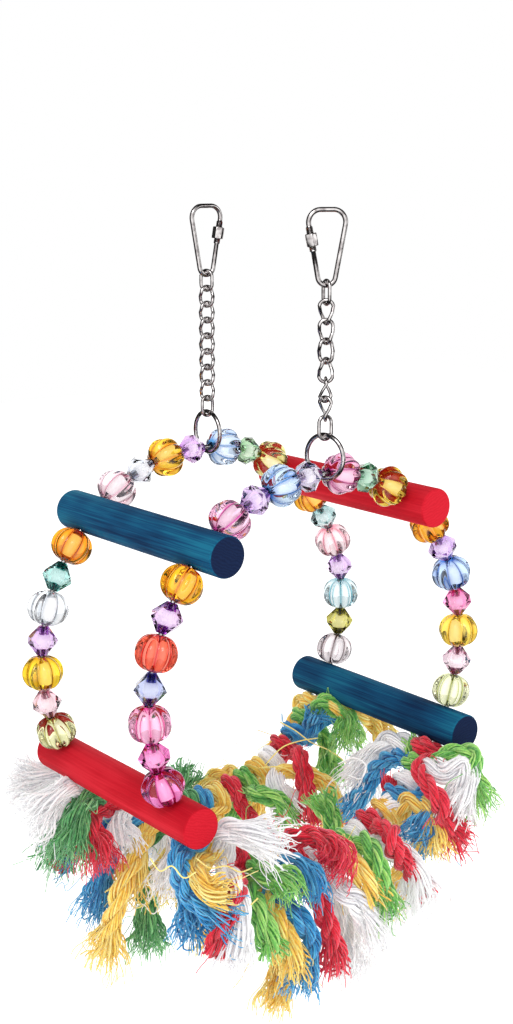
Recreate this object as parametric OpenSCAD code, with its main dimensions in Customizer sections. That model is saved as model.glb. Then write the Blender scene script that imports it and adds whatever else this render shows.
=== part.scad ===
// Hanging bird swing: two beaded wire hoops joined by four wooden dowels, a
// floor of frayed cotton rope, and two chains with screw-lock quick links.
// +Z is up, the hoops lie in XZ planes and -Y is the front. The origin is
// midway between the quick links, under the crowns that the cage carries.

/* [Hoops] */
// Radius of a hoop, to the middle of its wire
hoop_r = 100; // [90:1:120]
// Diameter of the hoop wire
hoop_wire = 2.5; // [2:0.1:2.8]
// Distance between the two hoops, middle to middle
hoop_gap = 95; // [80:1:120]
// Turn of the hanging drum about its own axis, in degrees
hoop_lean = -2.2; // [-5:0.1:0]
// Gap between the two ends of a hoop wire, inside a dowel
hoop_split = 1; // [0.5:0.1:2]

/* [Dowels] */
// Diameter of a dowel
dowel_d = 20; // [16:0.5:22]
// Length of a dowel beyond each hoop
dowel_overhang = 18.4; // [10:0.2:25]
// Bevel round a dowel's end
dowel_bevel = 0.6; // [0.3:0.1:1.5]

/* [Pumpkin beads] */
// Diameter over the lobes
pumpkin_d = 21; // [18:0.5:22]
// Length along the wire
pumpkin_len = 17.2; // [15:0.1:18]
// Depth of the grooves between lobes, at the middle
pumpkin_groove = 1.1; // [0.4:0.1:1.6]
// Diameter of the flat round the bore
pumpkin_flat = 4.6; // [4:0.1:6]
// Diameter of the white core inside
pumpkin_core_d = 8.4; // [6:0.1:10]
// Length of the white core inside
pumpkin_core_len = 11; // [10.2:0.1:13]

/* [Faceted beads] */
// Diameter over the corners of the girdle
facet_d = 15.6; // [13:0.1:17]
// Length along the wire
facet_len = 15; // [13:0.1:16]
// Height of the zigzag girdle
facet_girdle = 2.6; // [1.5:0.1:4]
// Diameter of the flat round the bore, over its corners
facet_flat = 5.2; // [4.6:0.1:6.5]
// Diameter of the white core inside
facet_core_d = 8; // [6:0.1:9]

/* [Stringing] */
// Diameter of the bores in beads and dowels
bore_d = 3.4; // [3.3:0.1:3.8]
// Gap between two beads on the wire
bead_fit = 0.6; // [0.5:0.1:1]
// Gap between an end bead and its dowel
dowel_fit = 0.5; // [0.4:0.1:1]
// Gap beside the ring wire, on each side
ring_fit = 1.5; // [1.4:0.1:2]
// Gap between a bead's core and its clear shell
core_fit = 0.05; // [0.03:0.01:0.1]

/* [Rings] */
// Outer diameter of a hanging ring
ring_d = 23.8; // [22:0.2:28]
// Diameter of the ring wire
ring_wire = 2.3; // [1.8:0.1:2.6]
// Turn of the front ring about the vertical, in degrees
ring_turn_front = 14; // [0:1:15]

/* [Chains] */
// Height that a chain spans, between the insides of its end links
chain_drop = 73.8; // [70:0.2:82]
// Diameter of the link wire
link_wire = 1.9; // [1.6:0.1:2]
// Outer width of a link
link_w = 8.6; // [8.4:0.1:9.6]
// Play where one link hangs in the next
link_fit = 0.15; // [0.1:0.05:0.3]

/* [Quick links] */
// Outer height of a quick link
quick_len = 37.6; // [36:0.2:44]
// Outer width of a quick link at its crown
quick_w = 20.6; // [18:0.2:24]
// Diameter of the quick link wire
quick_wire = 2.5; // [2.2:0.1:2.8]
// Radius of the crown's two corners, to the middle of the wire
quick_corner_r = 5.9; // [5:0.1:7]
// Radius of the foot, to the middle of the wire
quick_foot_r = 4.4; // [4.2:0.1:5]
// Turn of the front quick link about the vertical, in degrees
quick_turn_front = -24; // [-25:1:0]
// Opening between the two ends of the wire, closed by the nut
mouth = 3.6; // [3:0.1:4.2]
// Diameter of the threaded ends of the wire
thread_d = 3.6; // [3.4:0.1:3.8]
// Length of the threaded end that shows above the nut
thread_above = 3.2; // [2:0.1:4]
// Length of the threaded end that shows below the nut
thread_below = 2.6; // [1.5:0.1:4]
// Length of the nut
nut_len = 6.2; // [5.4:0.1:7]
// Distance over the flats of the nut
nut_flats = 5.4; // [5:0.1:6]
// Distance down the wire from the crown's corner to the nut's middle
nut_down = 7; // [6:0.1:9]
// Running gap between the nut and the thread
nut_fit = 0.08; // [0.05:0.01:0.1]

/* [Rope floor] */
// Thickness of a rope length where it goes over the wire
rope_d = 8.2; // [6:0.1:8.6]
// Thickness of its frayed ends
fray_d = 11; // [8:0.5:11.5]
// Length of rope from the wire to a frayed end
rope_leg = 55; // [40:1:70]
// How far a frayed end droops below its straight line
rope_droop = 16; // [0:1:24]
// Gap between the rope and the wire
rope_fit = 0.3; // [0.2:0.1:0.6]

/* [Hidden] */
wire_fn = 32;
round_fn = 72;
overrun = bore_d; // past both faces of what a bore cuts

// Beads: seven to an arc, pumpkin and faceted in turn
lobes = 8;
bead_pitch = (pumpkin_len + facet_len)/2 + bead_fit;
ring_slot = ring_wire + 2*ring_fit;
side_arc = 4*pumpkin_len + 3*facet_len + 6*bead_fit + 2*dowel_fit;
top_arc = side_arc - bead_fit + ring_slot;
first_bead = dowel_d/2 + dowel_fit + pumpkin_len/2;

// Angles round a hoop, clockwise from its top as seen from the front
function along(length) = length/hoop_r*180/PI;
upper_dowel = along(top_arc + dowel_d)/2;
lower_dowel = upper_dowel + along(side_arc + dowel_d);
ring_at = along(first_bead + 3.5*bead_pitch + (ring_slot - bead_fit)/2)
  - upper_dowel;

// Heights down the middle line, from the crown to the hoops
quick_foot_z = quick_wire - quick_len;
foot_inside_z = quick_foot_z + quick_wire;
chain_end_z = foot_inside_z - chain_drop;
ring_z = chain_end_z + link_fit + ring_wire - ring_d/2;
wire_z = ring_z - ring_d/2 + ring_wire + link_fit + hoop_wire/2;
hoop_x = -hoop_r*sin(ring_at + hoop_lean);
hoop_z = wire_z - hoop_r*cos(ring_at + hoop_lean);

// Quick link outline: two corner circles and a foot circle, held by tangents
quick_mid = (quick_w - quick_wire)/2;
crown_x = quick_mid - quick_corner_r;
corner_z = quick_wire/2 - quick_corner_r;
foot_z = quick_foot_z + quick_wire/2 + quick_foot_r;
tangent_at = asin((quick_foot_r - quick_corner_r)
  /norm([crown_x, corner_z - foot_z])) - atan2(crown_x, corner_z - foot_z);
function tangent_point(x, z, r) = [x + r*cos(tangent_at), z + r*sin(tangent_at)];
side_top = tangent_point(crown_x, corner_z, quick_corner_r);
side_foot = tangent_point(0, foot_z, quick_foot_r);
side_run = (side_foot - side_top)/norm(side_foot - side_top);
function down_side(distance) = side_top + distance*side_run;

// Chains: plain end links, and curb links between them, each turned about
// the vertical by its own angle in degrees
back_top_turn = 112;
back_turns = [150, 150, 150, 150, 150, 150, 150];
back_bottom_turn = 180;
front_top_turn = 76;
front_turns = [106, 120, 142, 165, 205, 260];
front_bottom_turn = 167;
link_twist = 30;
link_sides = 6;
end_sides = 8;
bow_steps = 8;
corner_steps = 4;
quick_sides = 12;
link_mid = (link_w - link_wire)/2;
function chain_pitch(turns) = chain_drop/(len(turns) + 2);

// Rope: lengths folded over the wire side by side, all along the bottom arc
rope_colours = ["red", "yellow", "white", "blue", "green"];
// Colour of each length, from the right end of the floor to the left
FRONT_ROPES = ["red", "green", "white", "blue", "yellow", "red",
  "white", "green", "yellow", "white", "red", "blue",
  "yellow", "green", "red", "white", "yellow", "blue"];
BACK_ROPES = ["yellow", "green", "blue", "red", "white", "yellow",
  "green", "red", "yellow", "blue", "green", "white",
  "yellow", "blue", "white", "red", "green", "white"];
tufts = len(FRONT_ROPES);
rope_sides = 6;
leg_steps = 4;
fold_steps = 4;
rope_saddle = hoop_wire/2 + rope_fit + rope_d/2;
tuft_step = (360 - 2*lower_dowel - along(dowel_d))/tufts;
// Turn of each leg from root to tip, as a share of the widest turn of its
// side: outward legs spread wide, those between the hoops keep apart
widest_out = 96;
widest_in = 66;
out_shares = [0.55, 1, 0.35, 0.8, 0.5, 0.95, 0.3, 0.7];
in_shares = [0.9, 0.4, 1, 0.6, 0.3, 0.85, 0.5];

// Names and colours of the beads, from the left or from the top of each arc
ARCS = ["back_top", "back_left", "back_right",
        "front_top", "front_left", "front_right"];
PUMPKIN_COLOURS = [
  ["mistyrose", "orange", "lightskyblue", "khaki"],
  ["darkorange", "whitesmoke", "gold", "greenyellow"],
  ["orange", "lightpink", "paleturquoise", "rosybrown"],
  ["orchid", "cornflowerblue", "hotpink", "goldenrod"],
  ["darkorange", "orangered", "hotpink", "deeppink"],
  ["orange", "dodgerblue", "gold", "yellowgreen"]];
FACET_COLOURS = [
  ["lightgray", "plum", "lightgreen"],
  ["mediumturquoise", "plum", "pink"],
  ["powderblue", "plum", "olive"],
  ["thistle", "lavender", "mediumseagreen"],
  ["mediumorchid", "slateblue", "deeppink"],
  ["plum", "violet", "mistyrose"]];

function pumpkin_name(arc, i) = str("pumpkin_bead_", ARCS[arc], "_", i + 1);
function facet_name(arc) = str("facet_beads_", ARCS[arc]);
function rope_name(c) = str("rope_", rope_colours[c]);

// Points and faces of a tube: rings of points are joined by triangles, and a
// tube that isn't a loop is closed at both ends
function tube_faces(rings, sides, loop) = concat(
  [for (k = [0:rings - (loop ? 1 : 2)], j = [0:sides - 1], half = [0, 1])
    let (a = k*sides, b = (k + 1)%rings*sides, n = (j + 1)%sides)
      half == 0 ? [a + j, b + n, b + j] : [a + j, a + n, b + n]],
  loop ? [] : [[for (j = [sides - 1:-1:0]) j],
    [for (j = [0:sides - 1]) (rings - 1)*sides + j]]);

function unit(v) = v/norm(v);

// Round wire along a flat path in the XZ plane. A station is a place [x, z] and
// the wire's diameter there.
module swept_wire(stations, sides, loop) {
  count = len(stations);
  points = [for (k = [0:count - 1])
    let (next = stations[loop ? (k + 1)%count : min(k + 1, count - 1)],
      last = stations[loop ? (k + count - 1)%count : max(k - 1, 0)],
      run = unit(next[0] - last[0]), at = stations[k][0], r = stations[k][1]/2)
      for (j = [0:sides - 1]) let (across = r*cos(360*j/sides))
        [at.x - run.y*across, r*sin(360*j/sides), at.y + run.x*across]];
  polyhedron(points, tube_faces(count, sides, loop));
}
// Stations of a bend about a centre, in degrees counterclockwise from +X to +Z
function bend(centre, r, from, to, d, steps) = [for (k = [0:steps])
  let (a = from + (to - from)*k/steps) [centre + [r*cos(a), r*sin(a)], d]];

// Puts a piece on the wire of one hoop: its z points out of the hoop and its
// x runs along the wire, clockwise. side is -1 in front and 1 behind.
module on_hoop(side, angle) {
  translate([hoop_x, side*hoop_gap/2, hoop_z])
    rotate([0, angle + hoop_lean, 0]) translate([0, 0, hoop_r]) children();
}

// Bore along a hoop's wire, halfway between the chord and the top of the arc
function bow_rise(length) = hoop_r - sqrt(pow(hoop_r, 2) - pow(length/2, 2));
module wire_bore(length) {
  translate([0, 0, -bow_rise(length)/2]) rotate([0, 90, 0])
    cylinder(d = bore_d, h = length + 2*overrun, center = true, $fn = wire_fn);
}

// Screw-lock quick link in the XZ plane, its crown's underside at the origin:
// one wire from the lower side of the mouth round to the upper side
module quick_link() {
  step = (thread_d - quick_wire)/2;
  thread_top = nut_down - nut_len/2 - thread_above;
  thread_foot = nut_down + nut_len/2 + thread_below;
  stations = concat(
    [[down_side(nut_down + mouth/2), thread_d], [down_side(thread_foot - step), thread_d],
      [down_side(thread_foot), quick_wire]],
    bend([0, foot_z], quick_foot_r, tangent_at, -180 - tangent_at, quick_wire, bow_steps),
    bend([-crown_x, corner_z], quick_corner_r, 180 - tangent_at, 90, quick_wire, corner_steps),
    bend([crown_x, corner_z], quick_corner_r, 90, tangent_at, quick_wire, corner_steps),
    [[down_side(thread_top), quick_wire], [down_side(thread_top + step), thread_d],
      [down_side(nut_down - mouth/2), thread_d]]);
  color("silver") swept_wire(stations, quick_sides, false);
}

// Six-sided nut with bevelled ends, in place over the mouth
module sleeve_nut() {
  middle = down_side(nut_down);
  corner_r = nut_flats/2/cos(30);
  bevel = corner_r - nut_flats/2;
  color("gainsboro") translate([middle.x, 0, middle.y])
    rotate([0, atan2(side_run.x, side_run.y), 0]) difference() {
      intersection() {
        cylinder(r = corner_r, h = nut_len, center = true, $fn = 6);
        rotate_extrude($fn = wire_fn)
          polygon([[0, -nut_len/2], [nut_flats/2, -nut_len/2],
            [corner_r, bevel - nut_len/2], [corner_r, nut_len/2 - bevel],
            [nut_flats/2, nut_len/2], [0, nut_len/2]]);
      }
      cylinder(d = thread_d + 2*nut_fit, h = nut_len + 2*overrun,
        center = true, $fn = wire_fn);
    }
}

module hang_quick(side) {
  translate([0, side*hoop_gap/2, 0])
    rotate([0, 0, side < 0 ? 180 + quick_turn_front : 0]) children();
}

// Places link number k of a chain, counted from 0 at the top
module hang_link(side, turns, k, turn) {
  pitch = chain_pitch(turns);
  translate([0, side*hoop_gap/2, foot_inside_z + link_fit/2 - (k + 0.5)*pitch])
    rotate([0, 0, turn]) children();
}

// Plain oval link in the XZ plane, for the two ends of a chain
module plain_link(pitch) {
  half_leg = (pitch + link_fit + link_wire)/2 - link_mid;
  color("silver") swept_wire(
    concat(bend([0, half_leg], link_mid, 0, 180, link_wire, bow_steps),
      bend([0, -half_leg], link_mid, 180, 360, link_wire, bow_steps)),
    end_sides, true);
}

// Curb link: its upper bow is turned one way and its lower bow the other, so
// that all links can face the same way and still pass through each other
function curb_points(pitch) =
  let (half_leg = (pitch + link_fit + link_wire)/2 - link_mid,
    bow = function (z, from, twist) [for (k = [0:bow_steps])
      let (a = from + 180*k/bow_steps, u = link_mid*cos(a))
        [u*cos(twist), u*sin(twist), z + link_mid*sin(a)]])
    concat(bow(half_leg, 0, link_twist), [[-link_mid, 0, 0]],
      bow(-half_leg, 180, -link_twist), [[link_mid, 0, 0]]);

module curb_link(pitch) {
  path = curb_points(pitch);
  count = len(path);
  points = [for (k = [0:count - 1])
    let (run = unit(path[(k + 1)%count] - path[(k + count - 1)%count]),
      out = unit(path[k] - (path[k]*run)*run), side = cross(out, run))
      for (j = [0:link_sides - 1]) path[k] + link_wire/2
        *(cos(360*j/link_sides)*out + sin(360*j/link_sides)*side)];
  polyhedron(points, tube_faces(count, link_sides, true));
}

module curb_links(side, turns) {
  color("silver") for (k = [0:len(turns) - 1])
    hang_link(side, turns, k + 1, turns[k]) curb_link(chain_pitch(turns));
}

module hanging_ring(side) {
  color("silver") translate([0, side*hoop_gap/2, ring_z])
    rotate([0, 0, side < 0 ? ring_turn_front : 0]) rotate([0, 90, 0])
      rotate_extrude($fn = round_fn)
        translate([(ring_d - ring_wire)/2, 0]) circle(d = ring_wire, $fn = wire_fn);
}

// Hoop of spring wire, its two ends butted inside the lower right dowel
module hoop(side) {
  start = 90 - lower_dowel - hoop_lean + along(hoop_split)/2;
  color("silver") translate([hoop_x, side*hoop_gap/2, hoop_z])
    rotate([90, 0, 0]) rotate([0, 0, start])
      rotate_extrude(angle = 360 - along(hoop_split), $fn = round_fn)
        translate([hoop_r, 0]) circle(d = hoop_wire, $fn = wire_fn);
}

// Dowel through both hoops, with a cross bore for each wire
module dowel(angle, tint) {
  half = hoop_gap/2 + dowel_overhang;
  color(tint) difference() {
    translate([hoop_x + hoop_r*sin(angle + hoop_lean), 0,
        hoop_z + hoop_r*cos(angle + hoop_lean)])
      rotate([90, 0, 0]) rotate_extrude($fn = round_fn)
        polygon([[0, -half], [dowel_d/2 - dowel_bevel, -half],
          [dowel_d/2, dowel_bevel - half], [dowel_d/2, half - dowel_bevel],
          [dowel_d/2 - dowel_bevel, half], [0, half]]);
    for (side = [-1, 1]) on_hoop(side, angle) wire_bore(dowel_d);
  }
}

// Places bead i of an arc. Arcs 0 to 2 are on the back hoop, 3 to 5 on the
// front one: top, then down the left and down the right.
function bead_angle(arc, i) =
  let (run = along(first_bead + i*bead_pitch))
    arc%3 == 0 ? run - upper_dowel + (i > 3 ? along(ring_slot - bead_fit) : 0)
    : arc%3 == 1 ? -upper_dowel - run : upper_dowel + run;
module place_bead(arc, i) {
  on_hoop(arc < 3 ? 1 : -1, bead_angle(arc, i)) children();
}

// Ball or rounded rod about the wire, for a core and for the space it fills
module core(d, length) {
  rotate([0, 90, 0]) for (end = [-1, 1]) translate([0, 0, end*(length - d)/2])
    sphere(d = d, $fn = wire_fn);
  if (length > d)
    rotate([0, 90, 0]) cylinder(d = d, h = length - d, center = true, $fn = wire_fn);
}

// Clear shell round a white core, both with the wire's bore through them
module strung(length, core_d, core_len) {
  rise = [0, 0, -bow_rise(length)/2];
  difference() {
    translate(rise) children();
    translate(rise) core(core_d + 2*core_fit, core_len + 2*core_fit);
    wire_bore(length);
  }
  difference() {
    translate(rise) core(core_d, core_len);
    wire_bore(length);
  }
}

// Lobed shell: each lobe has a groove and two shoulders, and the grooves
// fade towards the flats round the bore
module pumpkin_shell() {
  bands = 6;
  around = 3*lobes;
  points = [for (k = [0:bands]) let (up = 180*k/bands - 90,
      r = pumpkin_flat/2 + (pumpkin_d - pumpkin_flat)/2*cos(up))
    for (j = [0:around - 1]) let (a = -360*j/around,
        reach = r - (j%3 == 0 ? pumpkin_groove*cos(up) : 0))
      [pumpkin_len/2*sin(up), reach*cos(a), reach*sin(a)]];
  polyhedron(points, tube_faces(bands + 1, around, false));
}

module pumpkin_bead(arc, i) {
  color(PUMPKIN_COLOURS[arc][i]) place_bead(arc, 2*i)
    strung(pumpkin_len, pumpkin_core_d, pumpkin_core_len) pumpkin_shell();
}

// Cut shell: two six-sided cones, one turned by half a side against the
// other, so that a zigzag of triangles runs round the girdle
module facet_shell() {
  levels = [[-facet_len/2, facet_flat], [-facet_girdle/2, facet_d],
    [facet_girdle/2, facet_d], [facet_len/2, facet_flat]];
  points = [for (k = [0:3], j = [0:5])
    let (a = (k > 1 ? 30 : 0) - 60*j, r = levels[k][1]/2)
      [levels[k][0], r*cos(a), r*sin(a)]];
  polyhedron(points, tube_faces(4, 6, false));
}

module facet_beads(arc) {
  for (i = [0:2]) color(FACET_COLOURS[arc][i]) place_bead(arc, 2*i + 1)
    strung(facet_len, facet_core_d, facet_core_d) facet_shell();
}

// One rope length in the plane of its slot. A station is a place across the
// hoop and out from the wire, the direction away from the fold, and a radius.
function leg_station(side, turn, share) =
  let (a = turn*share, scale = rope_leg/(turn*PI/180),
    grown = share < 0.4 ? 0 : share < 0.9 ? (share - 0.2)/0.55 : 0.7)
    [side*(rope_saddle + scale*(1 - cos(a))), scale*sin(a),
      side*cos(a), -sin(a), (rope_d + grown*(fray_d - rope_d))/2];
function tuft_stations(front_turn, back_turn) = concat(
  [for (k = [leg_steps:-1:1]) leg_station(-1, front_turn, k/leg_steps)],
  [for (k = [0:fold_steps]) let (a = 180*k/fold_steps)
    [-rope_saddle*cos(a), -rope_saddle*sin(a), -cos(a), -sin(a), rope_d/2]],
  [for (k = [1:leg_steps]) leg_station(1, back_turn, k/leg_steps)]);

// Stands a slot's point in the model and lets what is beyond the hoop droop
function rope_point(side, angle, across, y, out) =
  let (a = angle + hoop_lean, reach = hoop_r + out,
    x = across*cos(a) + reach*sin(a), z = reach*cos(a) - across*sin(a),
    beyond = max(0, norm([x, z]) - hoop_r)/rope_leg)
    [hoop_x + x, side*hoop_gap/2 + y, hoop_z + z - rope_droop*pow(beyond, 2)];

function share_of(list, k) = list[k%len(list)];
module tuft(side, k) {
  angle = lower_dowel + along(dowel_d)/2 + (k + 0.5)*tuft_step;
  out_turn = widest_out*share_of(out_shares, k + (side < 0 ? 0 : 3));
  in_turn = widest_in*share_of(in_shares, k + (side < 0 ? 0 : 2));
  stations = side < 0 ? tuft_stations(out_turn, in_turn)
    : tuft_stations(in_turn, out_turn);
  points = [for (s = stations, j = [0:rope_sides - 1])
    let (a = 360*j/rope_sides)
      rope_point(side, angle, s[4]*sin(a), s[0] + s[4]*cos(a)*s[2],
        s[1] + s[4]*cos(a)*s[3])];
  polyhedron(points, tube_faces(len(stations), rope_sides, false));
}

// All rope lengths of one colour, on both hoops
module rope(c) {
  color(rope_colours[c]) for (side = [-1, 1], k = [0:tufts - 1])
    if ((side < 0 ? FRONT_ROPES : BACK_ROPES)[k] == rope_colours[c]) tuft(side, k);
}

hang_quick(1) quick_link();  // quick_link_back
hang_quick(-1) quick_link();  // quick_link_front
hang_quick(1) sleeve_nut();  // sleeve_nut_back
hang_quick(-1) sleeve_nut();  // sleeve_nut_front
hang_link(1, back_turns, 0, back_top_turn) plain_link(chain_pitch(back_turns));  // chain_back_top_link
curb_links(1, back_turns);  // chain_back_links
hang_link(1, back_turns, len(back_turns) + 1, back_bottom_turn)  // chain_back_bottom_link
    plain_link(chain_pitch(back_turns));
hang_link(-1, front_turns, 0, front_top_turn)  // chain_front_top_link
    plain_link(chain_pitch(front_turns));
curb_links(-1, front_turns);  // chain_front_links
hang_link(-1, front_turns, len(front_turns) + 1, front_bottom_turn)  // chain_front_bottom_link
    plain_link(chain_pitch(front_turns));
hanging_ring(1);  // ring_back
hanging_ring(-1);  // ring_front
hoop(1);  // hoop_back
hoop(-1);  // hoop_front
dowel(-upper_dowel, "steelblue");  // dowel_upper_left
dowel(upper_dowel, "crimson");  // dowel_upper_right
dowel(-lower_dowel, "crimson");  // dowel_lower_left
dowel(lower_dowel, "steelblue");  // dowel_lower_right
for (arc = [0:5], i = [0:3])
  pumpkin_bead(arc, i);
for (arc = [0:5])
  facet_beads(arc);
for (c = [0:4])
  rope(c);
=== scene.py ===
# %% [markdown]
# # A hanging bird swing
# Two hoops of spring wire carry coloured beads and are joined by four dyed dowels. Lengths of
# cotton rope are folded over the bottom of both hoops, and two chains hang the whole from the
# cage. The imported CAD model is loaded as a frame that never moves, and each finished piece is
# modelled around it, in metres, and rides on the body that it belongs to.

# %% Load the frame
import math
import random

import bmesh
import bpy
import numpy as np
from mathutils import Matrix, Vector


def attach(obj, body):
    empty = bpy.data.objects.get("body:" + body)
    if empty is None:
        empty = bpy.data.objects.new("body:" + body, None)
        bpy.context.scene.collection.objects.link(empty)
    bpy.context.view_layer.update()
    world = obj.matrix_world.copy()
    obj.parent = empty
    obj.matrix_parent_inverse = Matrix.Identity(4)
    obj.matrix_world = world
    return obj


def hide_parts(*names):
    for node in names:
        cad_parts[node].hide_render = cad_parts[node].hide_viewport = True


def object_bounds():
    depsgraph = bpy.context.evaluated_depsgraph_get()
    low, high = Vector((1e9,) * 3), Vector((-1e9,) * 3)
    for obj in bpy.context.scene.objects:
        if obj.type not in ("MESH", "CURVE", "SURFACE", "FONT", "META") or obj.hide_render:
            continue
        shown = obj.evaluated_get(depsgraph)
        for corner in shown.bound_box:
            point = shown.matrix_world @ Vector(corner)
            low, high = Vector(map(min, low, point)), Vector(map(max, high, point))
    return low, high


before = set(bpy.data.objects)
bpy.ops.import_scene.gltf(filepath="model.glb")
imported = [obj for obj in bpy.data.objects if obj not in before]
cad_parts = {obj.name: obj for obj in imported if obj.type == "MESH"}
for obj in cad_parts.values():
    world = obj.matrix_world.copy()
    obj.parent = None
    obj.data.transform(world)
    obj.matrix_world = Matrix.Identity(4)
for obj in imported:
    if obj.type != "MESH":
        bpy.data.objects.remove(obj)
cad_box = [list(corner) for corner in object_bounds()]
MM = 0.001


def add_to_scene(obj):
    bpy.context.scene.collection.objects.link(obj)
    return obj


# %% [markdown]
# ## The camera
# The photograph was taken from the front left, a little above, with a long lens. Its place was
# found by fitting the hoops, the dowel ends and the rings. The camera comes first, because the
# ropes are laid out by where the photograph shows them.

# %% The camera
PHOTO_SIZE = (513, 1024)
LENS, SENSOR = 54.67, 36
FOCUS_PX = LENS / SENSOR * max(PHOTO_SIZE)
BACK_OFF, RAISED = 0.807, 0.0715
YAW, PITCH = math.radians(-38.3), math.radians(12.4)
look = Vector((-math.sin(YAW) * math.cos(PITCH), math.cos(YAW) * math.cos(PITCH),
               -math.sin(PITCH)))
right = Vector((math.cos(YAW), math.sin(YAW), 0))
up = right.cross(look)
HOOP_X, HOOP_Z = -4.50875 * MM, -223.948 * MM
eye = Vector((HOOP_X, 0, HOOP_Z)) - look * BACK_OFF + up * RAISED

lens = bpy.data.cameras.new("camera")
lens.lens, lens.sensor_width = LENS, SENSOR
camera = bpy.data.objects.new("camera", lens)
add_to_scene(camera)
camera.matrix_world = Matrix.Translation(eye) @ Matrix(
    (right, up, -look)).transposed().to_4x4()
bpy.context.scene.camera = camera
bpy.context.scene.view_settings.view_transform = "Standard"
print("camera at", [round(c, 3) for c in eye])

# %% [markdown]
# ## Colours and networks of nodes
# The studio and every finish are small networks of nodes, so the helpers that build them come
# first. A colour is written as it looks and turned into the linear value that a shader wants.
# A finish reads the piece's Object coordinates, or an attribute that was painted on its mesh.


# %% Colour and node helpers
def linear(colour):
    """An RGB colour of 0 to 255, as it looks, as a linear colour for a shader."""
    parts = [c / 255 for c in colour]
    return (*[c / 12.92 if c <= 0.04045 else ((c + 0.055) / 1.055) ** 2.4 for c in parts], 1)


def set_node(tree, node, *numbered, **named):
    """Sets a node up: small names are its properties, capital names and numbers its sockets.
    A node or an output is linked to the socket, and anything else is the socket's value."""
    for key in [key for key in named if key.islower()]:
        setattr(node, key, named.pop(key))
    for key, value in (*enumerate(numbered), *named.items()):
        socket = node.inputs[key if isinstance(key, int) else key.replace("_", " ")]
        if isinstance(value, bpy.types.Node):
            value = value.outputs[0]
        if isinstance(value, bpy.types.NodeSocket):
            tree.links.new(value, socket)
        else:
            socket.default_value = value
    return node


def add_node(tree, kind, *numbered, **named):
    return set_node(tree, tree.nodes.new("ShaderNode" + kind), *numbered, **named)


def new_material(name, **sockets):
    """A material with constants set on its shader's own sockets."""
    material = bpy.data.materials.new(name)
    material.use_nodes = True
    tree = material.node_tree
    return material, tree, set_node(tree, tree.nodes["Principled BSDF"], **sockets)


def tone_ramp(tree, source, *stops):
    """A ramp of linear colours: each stop is a place from 0 to 1 and the colour there."""
    node = add_node(tree, "ValToRGB", source)
    marks = node.color_ramp.elements
    while len(marks) < len(stops):
        marks.new(0.5)
    for mark, (place, colour) in zip(marks, stops):
        mark.position, mark.color = place, colour
    return node.outputs[0]


def ramp(tree, source, *stops):
    """A ramp whose colours are written as they look."""
    return tone_ramp(tree, source, *((place, linear(colour)) for place, colour in stops))


def grain(tree, scale, detail=3, stretch=(1, 1, 1)):
    """Noise on the piece's Object coordinates, stretched along an axis by a small factor."""
    fit = add_node(tree, "Mapping", add_node(tree, "TexCoord").outputs["Object"], Scale=stretch)
    return add_node(tree, "TexNoise", fit, Scale=scale, Detail=detail).outputs["Fac"]


def spread(tree, source, low, high, from_low=0, from_high=1):
    """Stretches a tone that runs from from_low to from_high over low to high."""
    return add_node(tree, "MapRange", source, from_low, from_high, low, high)


def bump(tree, shader, height, strength, distance):
    skin = add_node(tree, "Bump", Strength=strength, Distance=distance, Height=height)
    set_node(tree, shader, Normal=skin)


# %% [markdown]
# ## Light
# Metal and clear plastic show what is round them, so the world has three faces. The camera
# sees plain white. Mirrored rays find a white screen in front, a white wall behind and dark
# between, which draws a white line between two dark ones along each wire. Rays that have gone
# through the beads find white with three dark gaps, for the dark lobes at the beads' sides.
# One large soft lamp above the left shoulder shapes the dowels. The floor is plain paper that
# mirrored rays pass, so that it doesn't fill the dark between the two screens.

# %% World, lamps and floor
WHITE, DARK, DIM = (1, 1, 1, 1), (0.02, 0.02, 0.02, 1), (0.06, 0.06, 0.07, 1)
PLAIN_LIGHT, MIRROR_LIGHT, FLOOR_GLOW = 1, 1.5, 0.5
GAPS, GAPS_TURN = 3, math.radians(-65)
LAMP_AIM, FLOOR_Z, FLOOR_SIZE = Vector((0, 0, -0.22)), -0.75, 8

world = bpy.data.worlds.new("studio")
bpy.context.scene.world = world
world.use_nodes = True
sky = world.node_tree
sky.nodes.clear()
way = add_node(sky, "TexCoord").outputs["Generated"]
facing = add_node(sky, "VectorMath", way, -look, operation="DOT_PRODUCT").outputs["Value"]
screens = tone_ramp(sky, spread(sky, facing, 0, 1, -1),
                    (0.06, WHITE), (0.14, DARK), (0.76, DARK), (0.9, WHITE))
split = add_node(sky, "SeparateXYZ", way).outputs
round_about = add_node(sky, "Math", split["Y"], split["X"], operation="ARCTAN2")
waves = add_node(sky, "Math", round_about, GAPS, GAPS_TURN, operation="MULTIPLY_ADD")
waves = add_node(sky, "Math", waves, operation="SINE")
dark_gaps = tone_ramp(sky, spread(sky, waves, 0, 1, -1), (0.22, DIM), (0.55, WHITE))
plain = add_node(sky, "Background", WHITE, PLAIN_LIGHT)
mirrored = add_node(sky, "Background", screens, MIRROR_LIGHT)
through = add_node(sky, "Background", dark_gaps, PLAIN_LIGHT)
rays, found = add_node(sky, "LightPath").outputs, plain
for kind, tone in (("Glossy", mirrored), ("Transmission", through), ("Camera", plain)):
    found = add_node(sky, "MixShader", rays[f"Is {kind} Ray"], found, tone)
add_node(sky, "OutputWorld", found)


def soft_lamp(name, at, size, power):
    data = bpy.data.lights.new(name, "AREA")
    data.shape, data.size, data.energy = "DISK", size, power
    lamp = bpy.data.objects.new(name, data)
    lamp.location = at
    lamp.rotation_euler = (LAMP_AIM - lamp.location).to_track_quat("-Z", "Y").to_euler()
    add_to_scene(lamp)


soft_lamp("key", (-0.95, -0.75, 1.0), 0.7, 6.5)
soft_lamp("fill", (1.1, -1.0, 0.1), 0.9, 3)

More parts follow.
